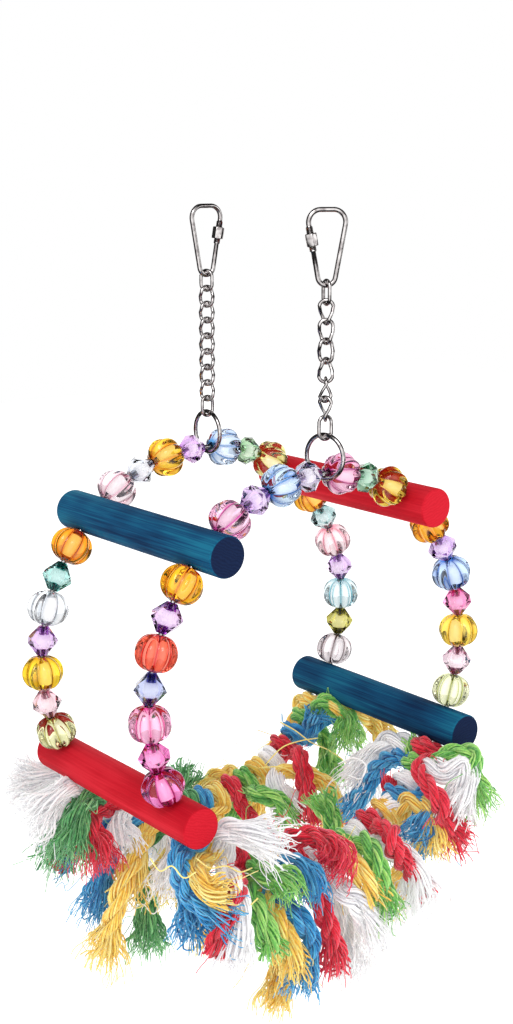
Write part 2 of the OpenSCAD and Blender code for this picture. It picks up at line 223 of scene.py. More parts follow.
bpy.ops.object.select_all(action="DESELECT")
bpy.ops.mesh.primitive_plane_add(size=FLOOR_SIZE, location=(0, 0, FLOOR_Z))
floor = bpy.context.object
floor.name = "floor"
paper, tree, sheet = new_material(
    "white_paper", Base_Color=(0.9, 0.9, 0.9, 1), Roughness=1, Specular_IOR_Level=0,
    Emission_Color=WHITE, Emission_Strength=FLOOR_GLOW)
rays = add_node(tree, "LightPath").outputs
only_mirrored = add_node(tree, "Math", rays["Is Glossy Ray"], rays["Is Transmission Ray"],
                         operation="SUBTRACT", use_clamp=True)
unseen = add_node(tree, "BsdfTransparent")
set_node(tree, tree.nodes["Material Output"],
         add_node(tree, "MixShader", only_mirrored, sheet, unseen))
floor.data.materials.append(paper)
print("lamps:", len(bpy.data.lights))

# %% [markdown]
# ## How the pieces are handled
# Each piece is drawn at the origin, in millimetres made metres, then its mesh is moved to its
# place and its object stays at the origin. Everything is deselected before a new primitive is
# added, because an operator acts on all that is selected.


# %% Helpers for modelling
def deselect():
    bpy.ops.object.select_all(action="DESELECT")


def start_from(primitive, **settings):
    """Adds a primitive with nothing else selected, and sets its turn into its mesh."""
    deselect()
    primitive(**settings)
    bpy.ops.object.transform_apply()
    return bpy.context.object


def take(obj):
    bpy.context.view_layer.objects.active = obj
    obj.select_set(True)


def select_all():
    bpy.ops.mesh.select_all(action="SELECT")


def face_outwards():
    select_all()
    bpy.ops.mesh.normals_make_consistent(inside=False)


def start_edit(obj):
    take(obj)
    bpy.ops.object.mode_set(mode="EDIT")


def end_edit():
    bpy.ops.object.mode_set(mode="OBJECT")


def unselected(obj):
    """In edit mode, the mesh with nothing selected."""
    mesh = bmesh.from_edit_mesh(obj.data)
    for part in (*mesh.faces, *mesh.edges, *mesh.verts):
        part.select_set(False)
    return mesh


def select_where(obj, test):
    """In edit mode, selects the vertices whose place passes the test."""
    mesh = unselected(obj)
    for vert in mesh.verts:
        if test(vert.co):
            vert.select_set(True)
    mesh.select_flush(True)
    bmesh.update_edit_mesh(obj.data)


def select_edges(obj, test):
    """In edit mode, selects the edges whose two ends pass the test together."""
    mesh = unselected(obj)
    for edge in mesh.edges:
        if test(edge.verts[0].co, edge.verts[1].co):
            edge.select_set(True)
    bmesh.update_edit_mesh(obj.data)


def apply_modifier(obj, kind, **settings):
    modifier = obj.modifiers.new(kind.lower(), kind)
    for key, value in settings.items():
        setattr(modifier, key, value)
    bpy.context.view_layer.objects.active = obj
    bpy.ops.object.modifier_apply(modifier=modifier.name)


def cut_out(obj, tool):
    apply_modifier(obj, "BOOLEAN", operation="DIFFERENCE", object=tool, solver="EXACT")
    drop(tool)


def fine_bevel(obj, width, degrees):
    apply_modifier(obj, "BEVEL", width=width * MM, segments=2, limit_method="ANGLE",
                   angle_limit=math.radians(degrees))


def smooth(obj, degrees):
    deselect()
    take(obj)
    bpy.ops.object.shade_smooth_by_angle(angle=math.radians(degrees))


def copy_to(template, name, matrix):
    """A copy of a template with its own mesh, moved to its place."""
    obj = template.copy()
    obj.data = template.data.copy()
    obj.name = obj.data.name = name
    obj.data.transform(matrix)
    return add_to_scene(obj)


def give(obj, material):
    obj.data.materials.clear()
    obj.data.materials.append(material)


def moved(x, y, z):
    return Matrix.Translation((x, y, z))


def turned(degrees, axis):
    return Matrix.Rotation(math.radians(degrees), 4, axis)


def finish_piece(obj, name, body, slot, *nodes):
    obj.name = obj.data.name = name
    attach(obj, body)
    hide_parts(*nodes)


def drop(*templates):
    for obj in templates:
        bpy.data.objects.remove(obj)


# %% [markdown]
# ## Sizes
# The frame fixes where each piece is, but not how it is made, so the sizes that the pieces
# are drawn from are set down here, in millimetres, as the CAD source has them. Angles round a
# hoop run clockwise from its top as the front shows it. Bores are the wire's with some play.

# %% Sizes and places
HOOP_R, HOOP_WIRE, HOOP_GAP, LEAN = 100, 2.5, 95, -2.2
DOWEL_D, DOWEL_LEN = 20, 95 + 2 * 18.4
PUMPKIN_D, PUMPKIN_LEN, PUMPKIN_GROOVE, PUMPKIN_FLAT = 21, 17.2, 1.1, 4.6
PUMPKIN_CORE_D, PUMPKIN_CORE_LEN = 4.0, 8.4
FACET_D, FACET_LEN, FACET_GIRDLE, FACET_FLAT, FACET_CORE_D = 15.6, 15, 2.6, 5.2, 5.4
BORE_D, BEAD_PITCH, FIRST_BEAD, RING_ROOM = 3.4, 16.7, 19.1, 4.7
RING_D, RING_WIRE, RING_Z, RING_TURN_FRONT = 23.8, 2.3, -115.85, 14
UPPER_DOWEL, LOWER_DOWEL = 40.9951, 120.292


def along(length):
    return math.degrees(length / HOOP_R)


def side_y(side):
    return side * HOOP_GAP / 2 * MM


def on_hoop(side, angle):
    """A place on a hoop's wire: its x runs along the wire and its z points out of the hoop."""
    return (moved(HOOP_X, side_y(side), HOOP_Z) @ turned(angle + LEAN, "Y")
            @ moved(0, 0, HOOP_R * MM))


def bead_angle(arc, i):
    run = along(FIRST_BEAD + i * BEAD_PITCH)
    if arc % 3 == 0:
        return run - UPPER_DOWEL + (along(RING_ROOM) if i > 3 else 0)
    return -UPPER_DOWEL - run if arc % 3 == 1 else UPPER_DOWEL + run


def bead_place(arc, i, length, spin):
    """Where bead i of an arc sits, its bore along the template's z."""
    rise = HOOP_R - math.sqrt(HOOP_R ** 2 - (length / 2) ** 2)
    return (on_hoop(1 if arc < 3 else -1, bead_angle(arc, i))
            @ moved(0, 0, -rise / 2 * MM) @ turned(90, "Y") @ turned(spin, "Z"))


SIDES = {"front": -1, "back": 1}
ARCS = ["back_top", "back_left", "back_right", "front_top", "front_left", "front_right"]
print("beads to place:", len(ARCS) * 7)

# %% [markdown]
# ## Metal
# The metal is nickel plate: bright, with a tumbled skin that is never quite even, so a fine
# noise drives its roughness, and a coarser one its tone.


# %% Metal
def plated_metal(name, light, dark, rough, mottle):
    material, tree, shader = new_material(name, Metallic=1)
    set_node(tree, shader, Roughness=spread(tree, grain(tree, 900), rough, rough + mottle),
             Base_Color=ramp(tree, grain(tree, 320), (0.35, dark), (0.6, light)))
    bump(tree, shader, grain(tree, 1500, 2), 0.12, 0.0002)
    return material


nickel = plated_metal("nickel_plate", (214, 210, 209), (150, 144, 144), 0.04, 0.08)
spring_wire = plated_metal("hoop_wire", (205, 203, 202), (160, 158, 158), 0.14, 0.2)
print("metals:", nickel.name, spring_wire.name)

# %% [markdown]
# ## Wood
# The dowels are turned from straight-grained wood and dyed. The dye takes unevenly, so long
# fine streaks run the length of the dowel, and the end grain drinks the most and is darkest
# in the blue. The fibres are noise stretched 60 times along Y, the direction of all four.


# %% Dyed wood
def dyed_wood(name, dark, middle, light, end_dark, end_light, streak):
    material, tree, shader = new_material(name, Roughness=0.72, Specular_IOR_Level=0.12)
    fibres = grain(tree, 1500, 5, (1, 0.016, 1))
    bands = grain(tree, 260, 3, (1, 0.03, 1))
    blotch = spread(tree, grain(tree, 38, 2, (1, 0.5, 1)), -0.16, 0.16, 0.3, 0.7)
    wide = add_node(tree, "Math", bands, 1 - streak, operation="MULTIPLY")
    both = add_node(tree, "Math", fibres, streak, wide, operation="MULTIPLY_ADD")
    tone = add_node(tree, "Math", both, blotch, operation="ADD")
    place = add_node(tree, "TexCoord").outputs
    rings = add_node(tree, "TexWave", place["Object"], wave_type="RINGS", rings_direction="Y",
                     Scale=220, Distortion=9, Detail=3)
    along_y = add_node(tree, "SeparateXYZ", place["Normal"]).outputs["Y"]
    at_end = add_node(tree, "Math", along_y, operation="ABSOLUTE")
    mix = add_node(tree, "Mix", spread(tree, at_end, 0, 1, 0.75, 0.95), data_type="RGBA")
    side = ramp(tree, tone, (0.32, dark), (0.5, middle), (0.68, light))
    end = ramp(tree, rings.outputs["Fac"], (0.1, end_dark), (0.9, end_light))
    tree.links.new(side, mix.inputs[6])
    tree.links.new(end, mix.inputs[7])
    set_node(tree, shader, Base_Color=mix.outputs[2])
    bump(tree, shader, both, 0.5, 0.0006)
    return material


WOODS = {
    "blue_wood": dyed_wood("blue_wood", (3, 40, 76), (5, 72, 110), (18, 104, 134),
                           (12, 28, 62), (15, 34, 70), 0.55),
    "red_wood": dyed_wood("red_wood", (174, 9, 29), (188, 12, 32), (206, 30, 46),
                          (196, 18, 38), (204, 24, 43), 0.4),
}
print("woods:", list(WOODS))

# %% [markdown]
# ## Dowels
# Four turned dowels with softened ends, cross-bored where the hoops pass through. A cylinder
# is the start: its end faces are inset, its rims bevelled round, and two drills, one for each
# hoop, are taken out of it with a Boolean, as on a real drill press.


# %% Turn a dowel and drill it
RIM, RIM_STEPS, END_INSET, DRILL_THROUGH = 1.1, 5, 0.3, 1.4


def turned_dowel():
    half, r = DOWEL_LEN / 2 * MM, DOWEL_D / 2 * MM
    obj = start_from(bpy.ops.mesh.primitive_cylinder_add, vertices=96, radius=r, depth=2 * half,
                     rotation=(math.radians(90), 0, 0))
    start_edit(obj)
    select_edges(obj, lambda a, b: a.y * b.y > 0)
    bpy.ops.mesh.bevel(offset=RIM * MM, segments=RIM_STEPS, affect="EDGES")
    select_where(obj, lambda p: abs(p.y) > half * 0.9999)
    for _ in range(2):
        bpy.ops.mesh.inset(thickness=r * END_INSET)
    end_edit()
    return obj


def drill(obj, side, angle):
    """Takes a straight bore out of a piece, along the hoop's wire."""
    bit = start_from(bpy.ops.mesh.primitive_cylinder_add, vertices=32, radius=BORE_D / 2 * MM,
                     depth=DOWEL_D * DRILL_THROUGH * MM)
    bit.data.transform(on_hoop(side, angle) @ turned(90, "Y"))
    cut_out(obj, bit)


DOWELS = {"upper_left": (-UPPER_DOWEL, "blue_wood"), "upper_right": (UPPER_DOWEL, "red_wood"),
          "lower_left": (-LOWER_DOWEL, "red_wood"), "lower_right": (LOWER_DOWEL, "blue_wood")}
for name, (angle, wood) in DOWELS.items():
    dowel = turned_dowel()
    centre = on_hoop(1, angle).translation
    dowel.data.transform(moved(centre.x, 0, centre.z))
    for side in SIDES.values():
        drill(dowel, side, angle)
    smooth(dowel, 30)
    give(dowel, WOODS[wood])
    finish_piece(dowel, "dowel_" + name + "_wood", "drum", wood, "dowel_" + name)
    print(dowel.name, "faces:", len(dowel.data.polygons), list(dowel.dimensions))

# %% [markdown]
# ## Bent wire
# Hoops, rings and quick links are all bent from round wire. A ring of vertices stands across
# the wire at one end, and is extruded along straight runs and spun round the bends, much as
# a wire bender would feed and turn it. The last job is to close both ends.


# %% A wire bender's moves
def start_wire(at, run, diameter, sides=16):
    turn = Vector((0, 0, 1)).rotation_difference(Vector(run)).to_euler()
    obj = start_from(bpy.ops.mesh.primitive_circle_add, vertices=sides, radius=diameter / 2,
                     location=at, rotation=turn)
    start_edit(obj)
    select_all()
    return obj


def feed(step):
    bpy.ops.mesh.extrude_region_move(TRANSFORM_OT_translate={"value": step})


def swell(factor, at):
    bpy.ops.transform.resize(value=(factor,) * 3, center_override=at)


def bend(centre, axis, degrees, steps):
    bpy.ops.mesh.spin(steps=steps, angle=-math.radians(degrees), center=centre, axis=axis)


def close_wire(obj):
    select_all()
    bpy.ops.mesh.fill_holes(sides=0)
    face_outwards()
    end_edit()
    smooth(obj, 50)


# %% Hoops and hanging rings
HOOP_SPLIT, HOOP_STEPS = along(1), 180
RING_SPLIT, RING_STEPS, RING_SEAM, RING_SIDES = 1.4, 72, 96, 20


def wire_ring(radius, wire, seam, axis, split, steps, sides=16):
    """Bends a ring round an axis, "X" or "Y", that starts seam degrees round from its top."""
    start = turned(seam, axis)
    run, turns_round = ((1, 0, 0), (0, 1, 0)) if axis == "Y" else ((0, 1, 0), (1, 0, 0))
    ring = start_wire(start @ Vector((0, 0, radius * MM)), start @ Vector(run), wire * MM, sides)
    bend((0, 0, 0), turns_round, 360 - split, steps)
    close_wire(ring)
    return ring


for word, side in SIDES.items():
    hoop = wire_ring(HOOP_R, HOOP_WIRE, LOWER_DOWEL + LEAN + HOOP_SPLIT / 2, "Y",
                     HOOP_SPLIT, HOOP_STEPS)
    hoop.data.transform(moved(HOOP_X, side_y(side), HOOP_Z))
    give(hoop, spring_wire)
    finish_piece(hoop, "hoop_" + word + "_wire", "drum", "hoop_wire", "hoop_" + word)

    ring = wire_ring((RING_D - RING_WIRE) / 2, RING_WIRE, RING_SEAM, "X",
                     RING_SPLIT, RING_STEPS, RING_SIDES)
    turn = RING_TURN_FRONT if side < 0 else 0
    ring.data.transform(moved(0, side_y(side), RING_Z * MM) @ turned(turn, "Z"))
    give(ring, nickel)
    finish_piece(ring, "ring_" + word + "_wire", "drum", "nickel_plate", "ring_" + word)
    print(hoop.name, [round(d, 4) for d in hoop.dimensions], ring.name,
          [round(d, 4) for d in ring.dimensions])

# %% [markdown]
# ## Quick links and their nuts
# A quick link is one wire: from the threaded lower side of its mouth down, round the foot, up
# the long side, over the two corners of the crown and down to the threaded upper side. The
# thread is a helix on the real link; at half a millimetre of pitch, rings look the same.

# %% Outline of a quick link
QUICK_LEN, QUICK_W, QUICK_WIRE, CORNER_R, FOOT_R = 37.6, 20.6, 2.5, 5.9, 4.4
MOUTH, THREAD_D, THREAD_ABOVE, THREAD_BELOW = 3.6, 3.6, 3.2, 2.6
NUT_LEN, NUT_FLATS, NUT_DOWN, QUICK_TURN_FRONT = 6.2, 5.4, 7, -24
crown_x = (QUICK_W - QUICK_WIRE) / 2 - CORNER_R
corner_z = QUICK_WIRE / 2 - CORNER_R
foot_z = QUICK_WIRE - QUICK_LEN + QUICK_WIRE / 2 + FOOT_R
tangent = (math.asin((FOOT_R - CORNER_R) / math.hypot(crown_x, corner_z - foot_z))
           - math.atan2(crown_x, corner_z - foot_z))


def tangent_point(x, z, r):
    return Vector((x + r * math.cos(tangent), 0, z + r * math.sin(tangent)))


side_top, side_foot = tangent_point(crown_x, corner_z, CORNER_R), tangent_point(0, foot_z, FOOT_R)
side_run = (side_foot - side_top).normalized()
print("side of the link runs", [round(c, 3) for c in side_run])

# %% Bend the quick links
THREAD_PITCH, THREAD_DEPTH, FOOT_STEPS, CORNER_STEPS = 0.55, 0.9, 24, 14


def thread_on(at, run, length):
    """Feeds the wire through a threaded length: a ridge and a groove at each pitch."""
    turns = int(length / THREAD_PITCH)
    for k in range(turns * 2):
        at = at + run * (THREAD_PITCH / 2)
        feed(run * (THREAD_PITCH / 2 * MM))
        swell(THREAD_DEPTH if k % 2 == 0 else 1 / THREAD_DEPTH, at * MM)
    feed(run * ((length - turns * THREAD_PITCH) * MM))


def feed_to(here, there):
    feed((there - here) * MM)
    return there


def bent_link():
    step = (THREAD_D - QUICK_WIRE) / 2
    lower = side_top + side_run * (NUT_DOWN + MOUTH / 2)
    thread_end = side_top + side_run * (NUT_DOWN + NUT_LEN / 2 + THREAD_BELOW - step)
    link = start_wire(lower * MM, side_run, THREAD_D * MM)
    thread_on(lower, side_run, (thread_end - lower).length)
    at = feed_to(thread_end, thread_end + side_run * step)
    swell(QUICK_WIRE / THREAD_D, at * MM)
    feed_to(at, side_foot)
    round_foot = 180 + 2 * math.degrees(tangent)
    bend((0, 0, foot_z * MM), (0, 1, 0), round_foot, FOOT_STEPS)
    left_foot = Vector((-side_foot.x, 0, side_foot.z))
    left_top = Vector((-side_top.x, 0, side_top.z))
    feed_to(left_foot, left_top)
    round_corner = 90 - math.degrees(tangent)
    bend((-crown_x * MM, 0, corner_z * MM), (0, 1, 0), round_corner, CORNER_STEPS)
    feed(Vector((2 * crown_x * MM, 0, 0)))
    bend((crown_x * MM, 0, corner_z * MM), (0, 1, 0), round_corner, CORNER_STEPS)
    thread_start = side_top + side_run * (NUT_DOWN - NUT_LEN / 2 - THREAD_ABOVE)
    at = feed_to(feed_to(side_top, thread_start), thread_start + side_run * step)
    swell(THREAD_D / QUICK_WIRE, at * MM)
    upper = side_top + side_run * (NUT_DOWN - MOUTH / 2)
    thread_on(at, side_run, (upper - at).length)
    close_wire(link)
    return link


def hang_quick(side):
    turn = 180 + QUICK_TURN_FRONT if side < 0 else 0
    return moved(0, side_y(side), 0) @ turned(turn, "Z")


link_template = bent_link()
give(link_template, nickel)
for word, side in SIDES.items():
    link = copy_to(link_template, "quick_link_" + word + "_wire", hang_quick(side))
    finish_piece(link, link.name, "hooks", "nickel_plate", "quick_link_" + word)
drop(link_template)

# %% The sleeve nuts
NUT_RIM, NUT_EDGE, NUT_PLAY = 0.45, 0.2, 0.08


def hex_nut():
    nut = start_from(bpy.ops.mesh.primitive_cylinder_add, vertices=6, depth=NUT_LEN * MM,
                     radius=NUT_FLATS / 2 / math.cos(math.radians(30)) * MM)
    start_edit(nut)
    select_edges(nut, lambda a, b: a.z * b.z > 0)
    bpy.ops.mesh.bevel(offset=NUT_RIM * MM, segments=3, affect="EDGES")
    end_edit()
    cut_out(nut, start_from(bpy.ops.mesh.primitive_cylinder_add, vertices=32,
                            radius=(THREAD_D / 2 + NUT_PLAY) * MM, depth=NUT_LEN * 1.5 * MM))
    fine_bevel(nut, NUT_EDGE, 40)
    smooth(nut, 30)
    return nut


nut_template = hex_nut()
give(nut_template, nickel)
nut_middle = (side_top + side_run * NUT_DOWN) * MM
nut_turn = Vector((0, 0, -1)).rotation_difference(side_run).to_matrix().to_4x4()
for word, side in SIDES.items():
    place = hang_quick(side) @ moved(*nut_middle) @ nut_turn
    nut = copy_to(nut_template, "sleeve_nut_" + word + "_hex", place)
    finish_piece(nut, nut.name, "nut_" + word, "nickel_plate", "sleeve_nut_" + word)
    print(nut.name, "faces:", len(nut.data.polygons))
drop(nut_template)

# %% [markdown]
# ## Chains
# Each link is a ring of wire pulled into an oval. A torus is cut in half in thought: its upper
# half is lifted and its lower half lowered. In a curb link the two bows are then turned
# against each other, so that all the links can lie the same way.

# %% Links
CHAIN_DROP, LINK_WIRE, LINK_W, LINK_FIT, LINK_TWIST = 73.8, 1.86, 8.56, 0.19, 30
FOOT_INSIDE_Z, BOW_START = -32.62, math.radians(5)
CHAIN_TURNS = {"back": [112, 150, 150, 150, 150, 150, 150, 150, 180],
               "front": [76, 106, 120, 142, 165, 205, 260, 167]}


def oval_link(pitch, twist):
    bow = (LINK_W - LINK_WIRE) / 2
    link = start_from(bpy.ops.mesh.primitive_torus_add, rotation=(math.radians(90), 0, 0),
                      major_radius=bow * MM, minor_radius=LINK_WIRE / 2 * MM,
                      major_segments=36, minor_segments=14)
    start_edit(link)
    leg = (pitch + LINK_FIT + LINK_WIRE) / 2 - bow
    for end in (1, -1):
        select_where(link, lambda p: end * math.atan2(p.z, abs(p.x)) > BOW_START)
        bpy.ops.transform.translate(value=(0, 0, end * leg * MM))
        bpy.ops.transform.rotate(value=math.radians(-end * twist), orient_axis="Z",
                                 center_override=(0, 0, 0))
    end_edit()
    smooth(link, 60)
    give(link, nickel)
    return link


for word, turns in CHAIN_TURNS.items():
    pitch = CHAIN_DROP / len(turns)
    plain, curb = oval_link(pitch, 0), oval_link(pitch, LINK_TWIST)
    for k, turn in enumerate(turns):
        last = len(turns) - 1
        part = {0: "top_link", last: "bottom_link"}.get(k, "links")
        body = {0: "top_links", last: "chain_" + word + "_end"}.get(k, "chain_" + word)
        down = (FOOT_INSIDE_Z + LINK_FIT / 2 - (k + 0.5) * pitch) * MM
        place = moved(0, side_y(SIDES[word]), down) @ turned(turn, "Z")
        link = copy_to(plain if k in (0, last) else curb, f"chain_{word}_link_{k + 1}", place)
        finish_piece(link, link.name, body, "nickel_plate", f"chain_{word}_{part}")
    drop(plain, curb)
    print(word, "chain:", len(turns), "links of pitch", round(pitch, 3))

# %% [markdown]
# ## Clear plastic
# The beads are tinted acrylic over a white core. Light is tinted each time it passes through
# the wall, so a bead looks pale over the core and deep in the grooves and round the bore. That
# deep tint is painted shade: an attribute painted on the mesh, called depth, says how deep the
# painted tint is at each point, and a faint noise stands for the flow lines of the moulding.
# The core has a painted glow, an emission that stands in for the light that a clear bead
# gathers from all round.


# %% Acrylic and core
def tinted_acrylic(name, pale, deep):
    material, tree, shader = new_material(name, IOR=1.49, Transmission_Weight=1)
    # Painted shade: the depth attribute deepens the tint in the grooves, at the poles and round the bore
    depth = add_node(tree, "Attribute", attribute_name="depth").outputs["Fac"]
    flow = spread(tree, grain(tree, 140, 1), -0.06, 0.06, 0.35, 0.65)
    total = add_node(tree, "Math", depth, flow, operation="ADD", use_clamp=True)
    set_node(tree, shader, Base_Color=ramp(tree, total, (0.05, pale), (0.85, deep)),
             Roughness=spread(tree, grain(tree, 400, 2), 0.01, 0.05))
    return material


# Painted light: the core's emission is a glow that stands in for the light the clear shell gathers
core_white_painted_glow, tree, shader = new_material("core_white_painted_glow", Roughness=0.3, Emission_Color=WHITE,
                                        Emission_Strength=0.55)
set_node(tree, shader, Base_Color=ramp(tree, grain(tree, 160), (0.3, (236, 234, 236)),
                                       (0.7, (252, 251, 251))))
print("core:", core_white_painted_glow.name)

# %% [markdown]
# ## Lobed beads
# A pumpkin bead is a squat ball with eight deep grooves from pole to pole. Ring by ring, a
# circle is extruded from the bore out over the ball and back to the other end of the bore,
# and the two ends are bridged to make the bore's wall. Then every third meridian is drawn in
# and creased, and a subdivision surface rounds the lobes between.


# %% A bored, turned body
BORE_WALL, BORE_TINTED, BORE_MOUTH = BORE_D * 0.55, BORE_D * 0.6, BORE_D * 0.58
CORE_FLAT, CORE_BANDS, CORE_SIDES, MAX_TINT = BORE_D * 1.04, 10, 24, 0.9


def bored_body(profile, sides, half_turn_at=None):
    """Extrudes rings of (height, radius) in mm one from the next, and joins the last to the
    first through the bore. After half_turn_at rings, the rest are turned by half a side."""
    (z, r), rest = profile[0], profile[1:]
    obj = start_from(bpy.ops.mesh.primitive_circle_add, vertices=sides, radius=r * MM,
                     location=(0, 0, z * MM))
    start_edit(obj)
    select_all()
    for k, (next_z, next_r) in enumerate(rest, 1):
        feed((0, 0, (next_z - z) * MM))
        bpy.ops.transform.resize(value=(next_r / r, next_r / r, 1),
                                 center_override=(0, 0, next_z * MM))
        if k == half_turn_at:
            bpy.ops.transform.rotate(value=math.pi / sides, orient_axis="Z",
                                     center_override=(0, 0, 0))
        z, r = next_z, next_r
    bpy.ops.mesh.select_all(action="DESELECT")
    bpy.ops.mesh.select_non_manifold()
    bpy.ops.mesh.bridge_edge_loops()
    face_outwards()
    end_edit()
    return obj


def ball_profile(length, width, flat, bands):
    rows = [(-length / 2, BORE_D / 2)]
    for k in range(bands + 1):
        rise = math.radians(180 * k / bands - 90)
        rows.append((length / 2 * math.sin(rise), flat / 2 + (width - flat) / 2 * math.cos(rise)))
    return rows + [(length / 2, BORE_D / 2)]


def at_bore(p):
    return math.hypot(p.x, p.y) < BORE_TINTED


# Paints the depth attribute, the painted shade that deepens a bead's tint by its shape
def paint_tint_shade(obj, rule):
    depth = obj.data.attributes.new("depth", "FLOAT", "POINT")
    depth.data.foreach_set("value", [max(0, min(1, rule(v.co / MM))) for v in obj.data.vertices])


def join_core(shell, width, length):
    """Puts the white core inside a shell, as the second material of the same piece."""
    core = bored_body(ball_profile(length, width, CORE_FLAT, CORE_BANDS), CORE_SIDES)
    core.data.materials.append(core_white_painted_glow)
    paint_tint_shade(core, lambda p: 0)
    smooth(core, 60)
    deselect()
    core.select_set(True)
    take(shell)
    bpy.ops.object.join()
    return shell


# %% Shape the lobes
LOBES, GROOVE_DRAW, GROOVE_HALF, CREASE = 8, 1.6, 0.05, 0.65


def pumpkin_template():
    bead = bored_body(ball_profile(PUMPKIN_LEN, PUMPKIN_D, PUMPKIN_FLAT, 8), 3 * LOBES)
    start_edit(bead)

    def in_groove(p):
        lobe = math.degrees(math.atan2(p.y, p.x)) * LOBES / 360
        return abs(lobe - round(lobe)) < GROOVE_HALF and math.hypot(p.x, p.y) > BORE_WALL * MM

    select_where(bead, in_groove)
    drawn_in = 1 - 2 * PUMPKIN_GROOVE * GROOVE_DRAW / PUMPKIN_D
    bpy.ops.transform.resize(value=(drawn_in, drawn_in, 1), center_override=(0, 0, 0))
    select_edges(bead, lambda a, b: in_groove(a) and in_groove(b)
                 and abs(a.x * b.y - a.y * b.x) < 1e-9)
    bpy.ops.transform.edge_crease(value=CREASE)
    end_edit()
    apply_modifier(bead, "SUBSURF", levels=2, render_levels=2)
    reach = max(math.hypot(v.co.x, v.co.y) for v in bead.data.vertices)
    fit = PUMPKIN_D / 2 * MM / reach
    tall = PUMPKIN_LEN / 2 * MM / max(v.co.z for v in bead.data.vertices)
    bead.data.transform(Matrix.Diagonal((fit, fit, tall, 1)))
    smooth(bead, 60)

    # Painted shade: the tint deepens in the grooves, towards the poles and round the bore
    def depth(p):
        lobe = math.atan2(p.y, p.x) / math.tau * LOBES
        groove = 1 - 2 * abs(lobe - round(lobe))
        pole = abs(p.z) / PUMPKIN_LEN * 2
        return 1 if at_bore(p) else MAX_TINT * max(groove ** 2.6, pole ** 5)

    paint_tint_shade(bead, depth)
    give(bead, None)
    return join_core(bead, PUMPKIN_CORE_D, PUMPKIN_CORE_LEN)


# %% Colours of the lobed beads
# Slot, pale tint over the core, deep tint painted as shade in the grooves, in the order of each arc
PUMPKINS = [
    [("clear_pink", (252, 240, 244), (216, 146, 168)), ("orange", (255, 210, 70), (206, 92, 4)),
     ("light_blue", (222, 236, 250), (34, 98, 174)),
     ("pale_yellow", (252, 240, 176), (196, 176, 52))],
    [("deep_orange", (255, 182, 50), (206, 60, 4)), ("clear", (248, 250, 252), (166, 174, 184)),
     ("yellow", (255, 218, 62), (190, 118, 2)), ("yellow_green", (250, 250, 196), (128, 126, 24))],
    [("orange", (255, 196, 66), (226, 104, 8)), ("pink", (252, 232, 236), (204, 88, 114)),
     ("aqua", (232, 246, 248), (22, 122, 142)), ("smoky_pink", (238, 230, 233), (62, 38, 42))],
    [("magenta_pink", (250, 206, 230), (176, 22, 118)), ("blue", (212, 232, 250), (18, 86, 176)),
     ("rose_pink", (248, 200, 222), (172, 32, 116)), ("amber", (250, 218, 92), (190, 122, 12))],
    [("deep_orange", (255, 190, 44), (196, 70, 4)), ("red", (255, 112, 86), (186, 8, 12)),
     ("rose_pink", (250, 190, 220), (204, 24, 110)), ("magenta", (248, 150, 212), (196, 8, 108))],
    [("orange", (255, 190, 60), (232, 96, 6)), ("strong_blue", (202, 226, 252), (8, 58, 156)),
     ("yellow", (252, 222, 98), (212, 146, 8)), ("lime", (248, 250, 212), (118, 130, 28))],
]
random.seed(5)
template = pumpkin_template()
for arc, word in enumerate(ARCS):
    for i, (slot, pale, deep) in enumerate(PUMPKINS[arc]):
        name = f"pumpkin_bead_{word}_{i + 1}"
        bead = copy_to(template, name + "_clear",
                       bead_place(arc, 2 * i, PUMPKIN_LEN, random.uniform(0, 45)))
        bead.data.materials[0] = tinted_acrylic("acrylic_" + slot, pale, deep)
        finish_piece(bead, bead.name, f"bead_{word}_{i + 1}", "bead_" + slot, name)
print("lobed beads:", len(ARCS) * 4, "faces each:", len(template.data.polygons))
drop(template)

# %% [markdown]
# ## Faceted beads
# The small beads between are cut like crystal: two six-sided cones, one turned by half a side
# against the other, so that a zigzag of triangles runs round the girdle. Their edges get a
# fine bevel, since moulded edges are never razor sharp, and that thin line catches the light.


# %% Cut the facets
# RIM_TINT is the painted shade at the girdle's rim of a faceted bead
RIM_TINT, FACET_EDGE = 0.3, 0.16


def facet_template():
    half, waist = FACET_LEN / 2, FACET_GIRDLE / 2
    rings = [(-half, BORE_MOUTH), (-half, FACET_FLAT / 2), (-waist, FACET_D / 2)]
    bead = bored_body(rings + [(-z, r) for z, r in rings[::-1]], 6, 3)
    start_edit(bead)
    select_all()
    bpy.ops.mesh.quads_convert_to_tris(quad_method="SHORTEST_DIAGONAL")
    select_all()
    bpy.ops.mesh.tris_convert_to_quads(face_threshold=math.radians(1),
                                       shape_threshold=math.radians(120))
    end_edit()
    fine_bevel(bead, FACET_EDGE, 12)

    # Painted shade: the tint deepens towards the poles, at the girdle's rim and round the bore
    def depth(p):
        rim = math.hypot(p.x, p.y) / (FACET_D / 2)
        pole = abs(p.z) / half
        return 1 if at_bore(p) else max(MAX_TINT * pole ** 5, RIM_TINT * rim ** 6)

    paint_tint_shade(bead, depth)
    give(bead, None)
    return join_core(bead, FACET_CORE_D, FACET_CORE_D)


FACETS = [
    [((250, 251, 253), (170, 178, 196)), ((250, 228, 254), (166, 84, 196)),
     ((226, 246, 220), (66, 146, 72))],
    [((204, 246, 240), (18, 140, 132)), ((250, 228, 254), (150, 70, 182)),
     ((252, 236, 240), (206, 128, 150))],
    [((228, 246, 246), (62, 136, 138)), ((250, 228, 254), (150, 80, 182)),
     ((240, 234, 132), (122, 114, 16))],
    [((248, 230, 254), (160, 100, 196)), ((250, 247, 253), (138, 116, 172)),
     ((212, 244, 222), (36, 136, 88))],
    [((252, 226, 254), (136, 36, 172)), ((222, 230, 254), (30, 34, 150)),
     ((247, 158, 218), (204, 28, 132))],
    [((248, 228, 254), (142, 72, 186)), ((249, 168, 212), (208, 34, 122)),
     ((253, 240, 246), (206, 138, 170))],
]
FACET_SLOTS = ["clear_lilac", "teal_and_lilac", "pale_lilac", "thistle", "violet", "pink_lilac"]
template = facet_template()
